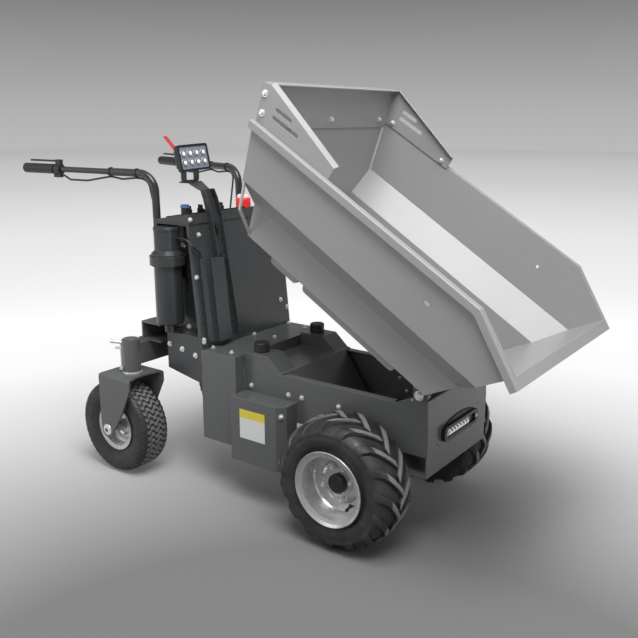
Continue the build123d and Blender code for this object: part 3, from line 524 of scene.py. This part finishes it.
for name, side in SIDES:
    tyre = bmesh.new()
    for count in range(BLOCK_COUNT):
        for row, (across, stagger, top) in enumerate(BLOCK_ROWS):
            bend = BLOCK_BEND if row % 2 else -BLOCK_BEND
            bar(tyre, bent_block(across, top, bend), pitch * (count + stagger))
        bar(tyre, SHOULDER_BAR, pitch * count)
        bar(tyre, other_side(SHOULDER_BAR), pitch * (count + 0.5))
    spun(tyre, CASTER_PROFILE)
    fit_wheel(tyre, CASTER, side)
    piece = done(tyre, "turf_tyre_" + name, CASTER_RUBBER, "caster_wheel_" + name,
                 "tyre_rubber", TYRE_SHARP)
    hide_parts("caster_tyre_" + name)

# %% [markdown]
# ## Wheel fittings
# Four studs hold each front wheel, with a washer, a nut and a lock nut, so that a length of thread
# stands out. A black cap covers the axle, and a rubber valve leans out of the rim. The thread could
# be cut as a helix, but at this size a plain rod with a ring near its end shows the same.

# %% Studs, caps and valves of the front wheels
STUD_CIRCLE, STUD_TURN, STUD_COUNT = 50, 17, 4
VALVE_CIRCLE, VALVE_TURN = 76, -62
CAP_OUT = 12                            # how far the hub stands out from the rim's disc
# washer, nut, lock nut, end ring and thread
STUD = ((10.5, 0, 2, 10.5, 24), (9.5, 2, 11.5, 9.5, 6), (8.5, 14.5, 19.5, 7.8, 6),
        (6.2, 21.5, 24.5, 6.2, 24), (4.8, 2, 28.5, 4.2, 12))
HUB_CAP = ((30, 0.2, 14, 29, 24), (29, 14, 19, 24, 24), (13, 19, 21.5, 11.5, 24))
VALVE = ((8, -1, 6, 5.5, 24), (4.2, 6, 30, 4.2, 12), (5, 30, 40, 4.6, 12))


def round_axle(radius, degrees, out):
    """A place on a circle about a front wheel's axle, so far out from the middle plane."""
    turn = math.radians(degrees)
    return at(radius * math.cos(turn), out, AXLE_Z + radius * math.sin(turn))


for name, side in SIDES:
    outwards = Vector((0, side, 0))
    studs, cap = bmesh.new(), bmesh.new()
    for count in range(STUD_COUNT):
        turn = STUD_TURN + 360 / STUD_COUNT * count
        stack(studs, aim(round_axle(STUD_CIRCLE, turn, side * (WHEEL_Y + 3)), outwards), STUD)
    done(studs, "wheel_studs_" + name, ZINC, "front_wheel_" + name, "steel")
    stack(cap, aim(at(0, side * (WHEEL_Y + CAP_OUT), AXLE_Z), outwards), HUB_CAP)
    foot = round_axle(VALVE_CIRCLE, VALVE_TURN, side * (WHEEL_Y + 2))
    stack(cap, aim(foot, (0.25, side, 0.1)), VALVE)
    done(cap, "hub_cap_" + name, PLASTIC, "front_wheel_" + name, "black_plastic")

# %% [markdown]
# ### Bolts of the casters
# Each caster wheel turns on one bolt with a nut on either leg of its fork, and the fork itself turns
# under two rings on its swivel tube. Both are the same kind of stack as the studs.

# %% Axle bolts and washers of the casters
SWIVEL_X, SWIVEL_Y, FORK_TOP = -878, 290, 366
LEG_OUT = 80                            # from the wheel's middle to the outside of its fork
AXLE_BOLT = ((20, 0.2, 1.8, 19.5, 24), (14.5, 1.8, 4.4, 14.5, 6), (12.5, 4.4, 5.8, 8.5, 24))
SWIVEL_RINGS = ((34, 0.4, 3.5, 34, 24), (29, 3.5, 6.6, 29, 24))
for name, side in SIDES:
    bolts = bmesh.new()
    for way in (-1, 1):
        leg = Vector((CASTER.x, side * abs(CASTER.y) + way * LEG_OUT * MM, CASTER.z))
        stack(bolts, aim(leg, (0, way, 0)), AXLE_BOLT)
    stack(bolts, Matrix.Translation(at(SWIVEL_X, side * SWIVEL_Y, FORK_TOP)), SWIVEL_RINGS)
    done(bolts, "caster_bolts_" + name, ZINC, "caster_" + name, "steel")

# %% [markdown]
# ## Lock pins
# A spring pin beside each swivel tube locks the caster straight ahead. Its cranked handle is lifted
# by hand, and a small lug on the tube holds it. One rod swept along a bent line would make it; three
# straight rods that meet show the crank as well, with fewer faces.

# %% Lock pins
PIN_X, PIN_Y, PIN_Z = -906, 311, 376
PIN = ((9.5, 0, 7, 9.5, 24), (3.6, 6, 98, 3.6, 12))
PIN_HANDLE, PIN_LUG = ((5.8, 0, 42, 6.4, 16),), ((4.5, 0, 26, 4.5, 12),)
for name, side in SIDES:
    pin = bmesh.new()
    foot = at(PIN_X, side * PIN_Y, PIN_Z)
    stack(pin, Matrix.Translation(foot), PIN)
    stack(pin, aim(foot + Vector((6, -side * 4, 96)) * MM, (-0.8, side * 0.6, 0.12)), PIN_HANDLE)
    stack(pin, aim(foot + Vector((6, -side * 4, 78)) * MM, (-0.8, side * 0.6, 0)), PIN_LUG)
    done(pin, "lock_pin_" + name, ZINC, "machine", "steel")

# %% [markdown]
# ## Bolts and screws
# Some fifty bolts hold the sheets together. Each is a washer and a six-sided head. Places typed in
# full would have to be right in all three directions. Instead a line is sent at the solid and the
# bolt stands on the face that it meets, so none can hang in the air or sink in. One table lists
# where the lines start, and rows of bolts on one face share a direction.

# %% Bolts
def hex_bolt(mesh, place, normal, size):
    """A washer, a six-sided head and its crowned top on a face."""
    here = aim(place, normal)
    disc(mesh, here, size * 0.86, 0.0, size * 0.16)
    disc(mesh, here, size * 0.62, size * 0.16, size * 0.62, size * 0.60, sides=6)
    disc(mesh, here, size * 0.52, size * 0.62, size * 0.78, size * 0.30, sides=12)


FROM_RIGHT, FROM_LEFT, FROM_FRONT, FROM_TOP = (0, 1, 0), (0, -1, 0), (-1, 0, 0), (0, 0, -1)


def line_start(way, far, a, b):
    """Where a look along one axis starts: so far out on it, and at two places on the others."""
    if way[0]:
        return at(far, a, b)
    return at(a, far, b) if way[1] else at(a, b, far)


# solid, way of looking, how far out the look starts, bolt size, the other two places of each bolt
BOLTS = (
    ("tower_cabinet", FROM_RIGHT, -600, 11,
     ((-745, 477), (-686, 468), (-625, 456), (-713, 808), (-703, 532))),
    ("tower_cabinet", FROM_LEFT, 600, 11,
     ((-745, 477), (-686, 468), (-625, 456), (-700, 860), (-700, 560))),
    ("tower_cabinet", FROM_FRONT, 600, 10,
     ((-191, 853), (-223, 719), (-221, 512), (189, 573), (222, 541), (-222, 504), (190, 853),
      (222, 719))),
    ("tower_lid", FROM_FRONT, 600, 10, ((-225, 905), (225, 905))),
    ("rear_deck", FROM_TOP, 600, 10,
     ((-495, -197), (-501, 31), (-498, 200), (-585, -190), (-585, 20), (-585, 215))),
    ("chassis_frame", FROM_RIGHT, -600, 10, ((-419, 382), (-267, 381), (-214, 382), (-76, 383))),
    ("chassis_frame", FROM_LEFT, 600, 10, ((-419, 382), (-267, 381), (-214, 382), (-76, 383))),
    ("chassis_frame", FROM_RIGHT, 100, 8, ((-84, 372), (-56, 331))),
    ("chassis_frame", FROM_LEFT, -100, 8, ((-84, 372), (-56, 331))),
    ("control_box", FROM_RIGHT, -600, 11, ((-247, 331), (-247, 180))),
)
for row, (node, way, far, size, spots) in enumerate(BOLTS):
    made = bmesh.new()
    for a, b in spots:
        place, normal = touch(node, line_start(way, far, a, b), way)
        hex_bolt(made, place, normal, size * MM)
    done(made, "bolts_" + str(row) + "_" + node, ZINC, "machine", "steel")

# %% [markdown]
# ### Bolts of the bed
# The spill board is bolted to the bed with the heads inside it, apart from two at the rear edge of
# each side, whose heads are outside. The bed is tipped here, so its lines are given along its own
# floor and turned with it. The hinge's ends are turned steel with a raised middle, and a grease
# nipple sits beside each.

# %% Bolts of the bed and the hinge
BED_BOLT = 11
BED_BOLTS = ((FROM_RIGHT, ((-740, 0, 398), (-519, 0, 396), (-779, -600, 466), (-763, -600, 417))),
             (FROM_LEFT, ((-740, 0, 398), (-519, 0, 396), (-779, 600, 466), (-763, 600, 417))),
             (FROM_FRONT, ((-600, 17, 392), (-600, -292, 392), (-600, 292, 392))))
made = bmesh.new()
for way, spots in BED_BOLTS:
    for spot in spots:
        place, normal = touch("spill_board", bed_at(*spot), bed_turn(way))
        hex_bolt(made, place, normal, BED_BOLT * MM)
done(made, "bolts_bed", ZINC, "bed", "steel")

HINGE_OUT, NIPPLE = 197, (173, 189, 459)
HINGE_END = ((12.5, 0, 6, 10.5, 24), (7, 6, 8, 6, 24))
ends = bmesh.new()
for name, side in SIDES:
    outwards = (0, side, 0)
    stack(ends, aim(at(PIVOT_X, side * HINGE_OUT, PIVOT_Z), outwards), HINGE_END)
    stack(ends, aim(at(NIPPLE[0], side * NIPPLE[1], NIPPLE[2]), outwards), ((3, 0, 1, 3, 24),))
done(ends, "hinge_ends", ZINC, "machine", "steel")

# %% [markdown]
# ## Lamps
# The work lamp holds two rows of small reflectors on a dark sheet. A reflector is a shallow cone
# with a bright dot, so it stays lively from every side. Clear glass in front would be nearer to the
# real one, but it costs many light paths and hides the cells. The lamp is switched off, so the glow
# of its dots is painted light, kept weak so that it does not light what is round it.

# %% Work lamp
LAMP = Matrix.Translation(at(-660, -167.6, 1098.7))
for axis, degrees in (("Y", -10.6), ("Z", -2), ("X", 2.3)):
    LAMP = LAMP @ Matrix.Rotation(math.radians(degrees), 4, axis)
LAMP_COLUMNS, LAMP_ROWS, LAMP_PITCH, CELL_R = 4, 2, 28.5, 12.2
LAMP_SHEET = (0.8, 116, 70)
CELL = ((CELL_R * 1.12, 0, 1.2, CELL_R * 1.12, 8), (CELL_R, 1.2, 2.2, CELL_R * 0.8, 16))
CELL_DOT = ((CELL_R * 0.5, 2.2, 3.4, CELL_R * 0.3, 12),)
QUARTER = Matrix.Rotation(math.pi / 2, 4, "Y")  # turns a shape's Z to the front
lamp_face = LAMP @ Matrix.Translation((-1.5 * MM, 0, 0))
behind = Matrix.Translation((-LAMP_SHEET[0] / 2 * MM, 0, 0))
sheet, bowls, dots = bmesh.new(), bmesh.new(), bmesh.new()
block(sheet, lamp_face @ behind, Vector(LAMP_SHEET) * MM)
for column in range(LAMP_COLUMNS):
    for row in range(LAMP_ROWS):
        across = (column - (LAMP_COLUMNS - 1) / 2) * LAMP_PITCH * MM
        up = (row - (LAMP_ROWS - 1) / 2) * LAMP_PITCH * MM
        face = lamp_face @ Matrix.Translation((0, across, up)) @ QUARTER
        stack(bowls, face, CELL)
        stack(dots, face, CELL_DOT)
done(sheet, "work_lamp_glass", LAMP_GLASS, "machine", "black_plastic")
done(bowls, "work_lamp_reflectors", REFLECTOR, "machine", "black_plastic")
done(dots, "work_lamp_leds", LED_WHITE, "machine", "black_plastic")

# %% [markdown]
# ### Front lamp
# The bar lamp on the front plate has a pale window with three-sided prisms that point up and down
# in turn, and a black arch behind it. The arch could be drawn point by point. A disc that is
# flattened, cut off along its lower side and closed again needs three numbers.

# %% Front lamp
PRISMS, PRISM_STEP = 14, 9.4
PRISM = ((8.8, 0, 3.5, 1, 3),)
ARCH_R, ARCH_FLAT, ARCH_THICK = 112, 0.32, 4
front_face = Matrix.Translation(at(231.6, -9, 342))
window, prisms, arch, screws = bmesh.new(), bmesh.new(), bmesh.new(), bmesh.new()
block(window, front_face, (0.001, 0.136, 0.028))
for count in range(PRISMS):
    up = 1 if count % 2 else -1
    across = (count - (PRISMS - 1) / 2) * PRISM_STEP
    spot = Matrix.Translation(Vector((0.5, across, up * 3.5)) * MM)
    facing = QUARTER @ Matrix.Rotation(math.pi / 2 * (1 + up), 4, "Z")
    stack(prisms, front_face @ spot @ facing, PRISM)
arch_place = Matrix.Translation(at(226.2, 0, 341)) @ QUARTER @ Matrix.Diagonal((ARCH_FLAT, 1, 1, 1))
disc(arch, arch_place, ARCH_R * MM, 0, ARCH_THICK * MM, sides=48)
bmesh.ops.bisect_plane(arch, geom=arch.verts[:] + arch.edges[:] + arch.faces[:], dist=1e-6,
                       plane_co=at(226, 0, 322), plane_no=(0, 0, 1), clear_inner=True)
bmesh.ops.holes_fill(arch, edges=arch.edges[:], sides=0)
for name, side in SIDES:
    hex_bolt(screws, at(238, side * 93, 341), (1, 0, 0), 7 * MM)
done(arch, "front_lamp_arch", PLASTIC, "machine", "black_plastic")
done(window, "front_lamp_window", LED_WHITE, "machine", "black_plastic")
done(prisms, "front_lamp_prisms", REFLECTOR, "machine", "black_plastic")
done(screws, "front_lamp_screws", ZINC, "machine", "steel")

# %% [markdown]
# ## Controls on the lid
# A red beacon with a clear top, a blue push knob and a row of black switches stand on the lid. They
# are small, but their colours are nearly the only bright ones on the machine. A line from above
# finds the panel's top for each, so no height is typed.

# %% Beacon top, knobs and switches
BEACON_TOP = ((22.5, -0.2, 7, 21.5, 24), (21.5, 7, 12, 15, 24))
BLUE_KNOB = ((15, 0.2, 10, 13.5, 24),)
SWITCH = ((8.5, 0, 4, 8, 24),)
TOGGLES = ((-712, -151), (-702, -107), (-748, 40))
ROCKERS = ((-735, -60), (-735, -30), (-735, 0))


def on_panel(x, y):
    """The place where a part stands on the panel, looked for from above in millimetres."""
    return Matrix.Translation(touch("control_panel", at(x, y, 1100), FROM_TOP)[0])


clear, blue, black = bmesh.new(), bmesh.new(), bmesh.new()
beacon_low, beacon_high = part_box("beacon")
middle = (beacon_low + beacon_high) / 2
stack(clear, Matrix.Translation((middle.x, middle.y, beacon_high.z)), BEACON_TOP)
stack(blue, on_panel(-690, -190), BLUE_KNOB)
for spot in TOGGLES:
    stack(black, on_panel(*spot), SWITCH)
    block(black, on_panel(*spot) @ Matrix.Translation((0, 0, 0.007)), (0.018, 0.006, 0.008), 0.001)
for spot in ROCKERS:
    block(black, on_panel(*spot) @ Matrix.Translation((0, 0, 0.004)), (0.024, 0.016, 0.008), 0.0015)
done(clear, "beacon_top", LENS_CLEAR, "machine", "red_plastic")
done(blue, "blue_knob", KNOB_BLUE, "machine", "black_plastic")
done(black, "panel_switches", PLASTIC, "machine", "black_plastic")

# %% [markdown]
# ### Knobs of the lamp's post
# Two black hand screws clamp the lamp's post at its height. Each is an eight-sided knob on a short
# neck, stood on the post's face where a line from the front meets it.

# %% Lamp post's knobs
POST_KNOB = ((6, 0, 5, 6, 24), (12, 5, 16, 10.5, 8))
knobs = bmesh.new()
for y, z in ((-119, 875), (-107, 774)):
    place, normal = touch("lamp_post", line_start(FROM_FRONT, 600, y, z), FROM_FRONT)
    stack(knobs, aim(place, normal), POST_KNOB)
done(knobs, "post_knobs", PLASTIC, "machine", "black_plastic")

# %% [markdown]
# ## Red lever
# A flat red lever stands up from the clamp of the left grip and points back over it. Its foot is
# found with a line from above, so that it stands on the clamp, and a round hub covers the joint.

# %% Red lever
LEVER_TIP = (-1308, 315, 1148)
lever = bmesh.new()
base = touch("lever_clamp_left", at(-1200, 284, 1300), FROM_TOP)[0]
reach = at(*LEVER_TIP) - base
half_way = Matrix.Translation((0, 0, reach.length / 2))
block(lever, aim(base, reach) @ half_way, (0.018, 0.005, reach.length), 0.002)
stack(lever, aim(base - Vector((0, 6, 0)) * MM, (0, 1, 0)), ((10, 0, 12, 10, 24),))
done(lever, "red_lever", LEVER_RED, "machine", "red_plastic")

# %% [markdown]
# ## Blank sign
# The control box carries a plate with a yellow band over a white field. Here it stays blank. One
# plate with two colours would need a mask between them; two thin plates side by side keep a clean
# edge and one plain finish each.

# %% Sign
SIGN_X0, SIGN_X1, SIGN_Y, SIGN_THICK = -406, -303, -264.9, 0.6
SIGN_LOW, SIGN_SPLIT, SIGN_HIGH = 231, 300, 328
for name, finish, low, high in (("yellow", SIGN_YELLOW, SIGN_SPLIT, SIGN_HIGH),
                                ("white", SIGN_WHITE, SIGN_LOW, SIGN_SPLIT)):
    plate = bmesh.new()
    place = at((SIGN_X0 + SIGN_X1) / 2, SIGN_Y, (low + high) / 2)
    size = Vector((SIGN_X1 - SIGN_X0, SIGN_THICK, high - low)) * MM
    block(plate, Matrix.Translation(place), size)
    done(plate, "sign_" + name, finish, "machine", "chassis_paint")

# %% [markdown]
# ## Weld seams
# Where two sheets of the bed meet, a bead of weld is left and painted over. A bead is a thin rod
# that is sunk in the corner. Its grey is paler than the bed's paint, a painted highlight along each
# seam. Its ripples could be modelled, but on seams this long they would take more faces than the
# bed, so they come from the noise in its own finish.

# %% Welds
BEAD = 4.6
CORNER_TOP, CORNER_MID, CORNER_LOW = (-767, 333, 364), (-709, 321, 137), (-687, 251, 54)
seams = bmesh.new()


def seam(start, end):
    """A bead between two places of the bed."""
    a, b = bed_at(*start), bed_at(*end)
    disc(seams, aim(a, b - a), BEAD * MM, 0, (b - a).length, sides=8)


def across(spot, side):
    """The same place on the bed's left or right side."""
    return spot[0], side * spot[1], spot[2]


for name, side in SIDES:
    seam(across(CORNER_TOP, side), across(CORNER_MID, side))
    seam(across(CORNER_MID, side), across(CORNER_LOW, side))
seam(CORNER_LOW, across(CORNER_LOW, -1))
done(seams, "weld_seams", WELD_PAINTED_HIGHLIGHT, "bed", "bed_paint")

# %% [markdown]
# ## Floor, background and light
# Soft light from high on the right gives the bed its pale inside, and a wide fill from the left
# keeps the dark chassis readable. The floor's own grey is painted darker near the machine, as
# painted shade beneath its real shadow, and is pale further out, where it also glows a little as a
# backdrop. The glow is there for the camera and for reflections only, so it puts no light on the
# machine.

# %% Floor
FLOOR_HALF = 30.0
# how far from the middle in metres, how pale the floor is there, and how much it glows; the dark
# greys of the inner rings are painted shade
FLOOR_RINGS = ((0.0, 0.18, 0.0), (0.95, 0.20, 0.0), (1.35, 0.36, 0.02), (2.2, 0.60, 0.20),
               (2.95, 0.70, 0.42), (3.85, 0.70, 0.56), (5.0, 0.70, 0.54), (7.8, 0.70, 0.54),
               (15.0, 0.70, 0.38), (FLOOR_HALF, 0.70, 0.25))
RING_MIDDLE = (0.9, -1.1, 0.0)


def seen_or_mirrored(tree):
    """One for rays from the camera, and for those that come by metal or glass."""
    ray = tree.nodes.new("ShaderNodeLightPath")
    either = ray.outputs["Is Camera Ray"]
    for kind in ("Is Glossy Ray", "Is Transmission Ray"):
        both = tree.nodes.new("ShaderNodeMath")
        both.operation = "MAXIMUM"
        tree.links.new(either, both.inputs[0])
        tree.links.new(ray.outputs[kind], both.inputs[1])
        either = both.outputs["Value"]
    return either


def steps(tree, value, table):
    """A colour ramp through greys: each row of the table is a position from 0 to 1 and a grey."""
    ramp = tree.nodes.new("ShaderNodeValToRGB")
    tree.links.new(value, ramp.inputs["Fac"])
    while len(ramp.color_ramp.elements) < len(table):
        ramp.color_ramp.elements.new(0.5)
    for element, (position, level) in zip(ramp.color_ramp.elements, table):
        element.position, element.color = position, grey(level)
    return ramp.outputs["Color"]


floor_mesh = bmesh.new()
bmesh.ops.create_grid(floor_mesh, x_segments=1, y_segments=1, size=FLOOR_HALF)
floor_data = bpy.data.meshes.new("floor")
floor_mesh.to_mesh(floor_data)
floor_mesh.free()
floor = bpy.data.objects.new("floor", floor_data)
bpy.context.collection.objects.link(floor)
made, tree, shader = new_material("floor_grey")
place = tree.nodes.new("ShaderNodeTexCoord")
far = tree.nodes.new("ShaderNodeVectorMath")
far.operation = "DISTANCE"
far.inputs[1].default_value = RING_MIDDLE
tree.links.new(place.outputs["Object"], far.inputs[0])
away = remap(tree, far.outputs["Value"], 0.0, FLOOR_HALF, 0.0, 1.0)
# The floor's grey is lowest near the middle: painted shade round the machine.
floor_grey_with_painted_shade = steps(tree, away, [(radius / FLOOR_HALF, level) for radius, level, glow in FLOOR_RINGS])
glow = steps(tree, away, [(radius / FLOOR_HALF, glow) for radius, level, glow in FLOOR_RINGS])
tree.links.new(floor_grey_with_painted_shade, shader.inputs["Base Color"])
tree.links.new(glow, shader.inputs["Emission Color"])
tree.links.new(seen_or_mirrored(tree), shader.inputs["Emission Strength"])
shader.inputs["Roughness"].default_value = 0.8
shader.inputs["Specular IOR Level"].default_value = 0.1
floor_data.materials.append(made)
floor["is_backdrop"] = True
print("floor", 2 * FLOOR_HALF, "metres wide, in", len(FLOOR_RINGS), "rings")

# %% [markdown]
# ### World
# The world does two jobs. To the machine it is an even grey sky. To the camera, and in metal, it is
# a backdrop that runs from pale at the horizon to a middle grey above, as a studio wall does.

# %% World
# how high, from 0 just under the horizon to 1 overhead, and how pale
SKY_STEPS = ((0.0, 0.52), (0.06, 0.45), (0.19, 0.21), (0.5, 0.30), (1.0, 0.62))
UNDER_HORIZON = -0.06
world = bpy.data.worlds.new("studio")
bpy.context.scene.world = world
world.use_nodes = True
tree = world.node_tree
sky = tree.nodes["Background"]
sky.inputs["Color"].default_value = grey(0.9)
sky.inputs["Strength"].default_value = 0.34
shown = tree.nodes.new("ShaderNodeBackground")
place = tree.nodes.new("ShaderNodeTexCoord")
part = tree.nodes.new("ShaderNodeSeparateXYZ")
tree.links.new(place.outputs["Generated"], part.inputs["Vector"])
height = remap(tree, part.outputs["Z"], UNDER_HORIZON, 1.0, 0.0, 1.0)
tree.links.new(steps(tree, height, SKY_STEPS), shown.inputs["Color"])
swap = tree.nodes.new("ShaderNodeMixShader")
tree.links.new(seen_or_mirrored(tree), swap.inputs["Fac"])
tree.links.new(sky.outputs["Background"], swap.inputs[1])
tree.links.new(shown.outputs["Background"], swap.inputs[2])
tree.links.new(swap.outputs["Shader"], tree.nodes["World Output"].inputs["Surface"])
print("world", world.name, "with", len(SKY_STEPS), "steps of grey")


# %% [markdown]
# ### Lamps of the studio
# Three wide soft lamps: a strong one from above, a weaker one from the left and a faint one in
# front. A small lamp would draw a hard shadow under each edge; a wide one gives soft shadows and
# long quiet highlights on the sheet steel.

# %% Lamps of the studio
LOOK_AT = (0.0, 0.0, 0.6)
# name, watts, width in metres, place
STUDIO = (("key", 152.0, 2.2, (1.25, -1.15, 3.7)),
          ("fill", 36.0, 3.0, (-2.6, -3.7, 2.2)),
          ("front", 16.0, 2.4, (4.0, -1.0, 1.6)))
for name, power, size, place in STUDIO:
    data = bpy.data.lights.new(name, "AREA")
    data.energy, data.size = power, size
    made = bpy.data.objects.new(name, data)
    bpy.context.collection.objects.link(made)
    made.location = place
    towards = Vector(LOOK_AT) - Vector(place)
    made.rotation_euler = towards.to_track_quat("-Z", "Y").to_euler()
    print("lamp", name, power, "watts")
bpy.context.scene.view_settings.view_transform = "Standard"

# %% [markdown]
# ## Sizes and finish
# The box of the dressed machine, its solids and the added pieces together, is printed. Nothing that
# was added may stand out past the solids.

# %% Sizes for the record
low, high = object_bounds()
print("visual box", [round(v, 4) for v in (*low, *high)])
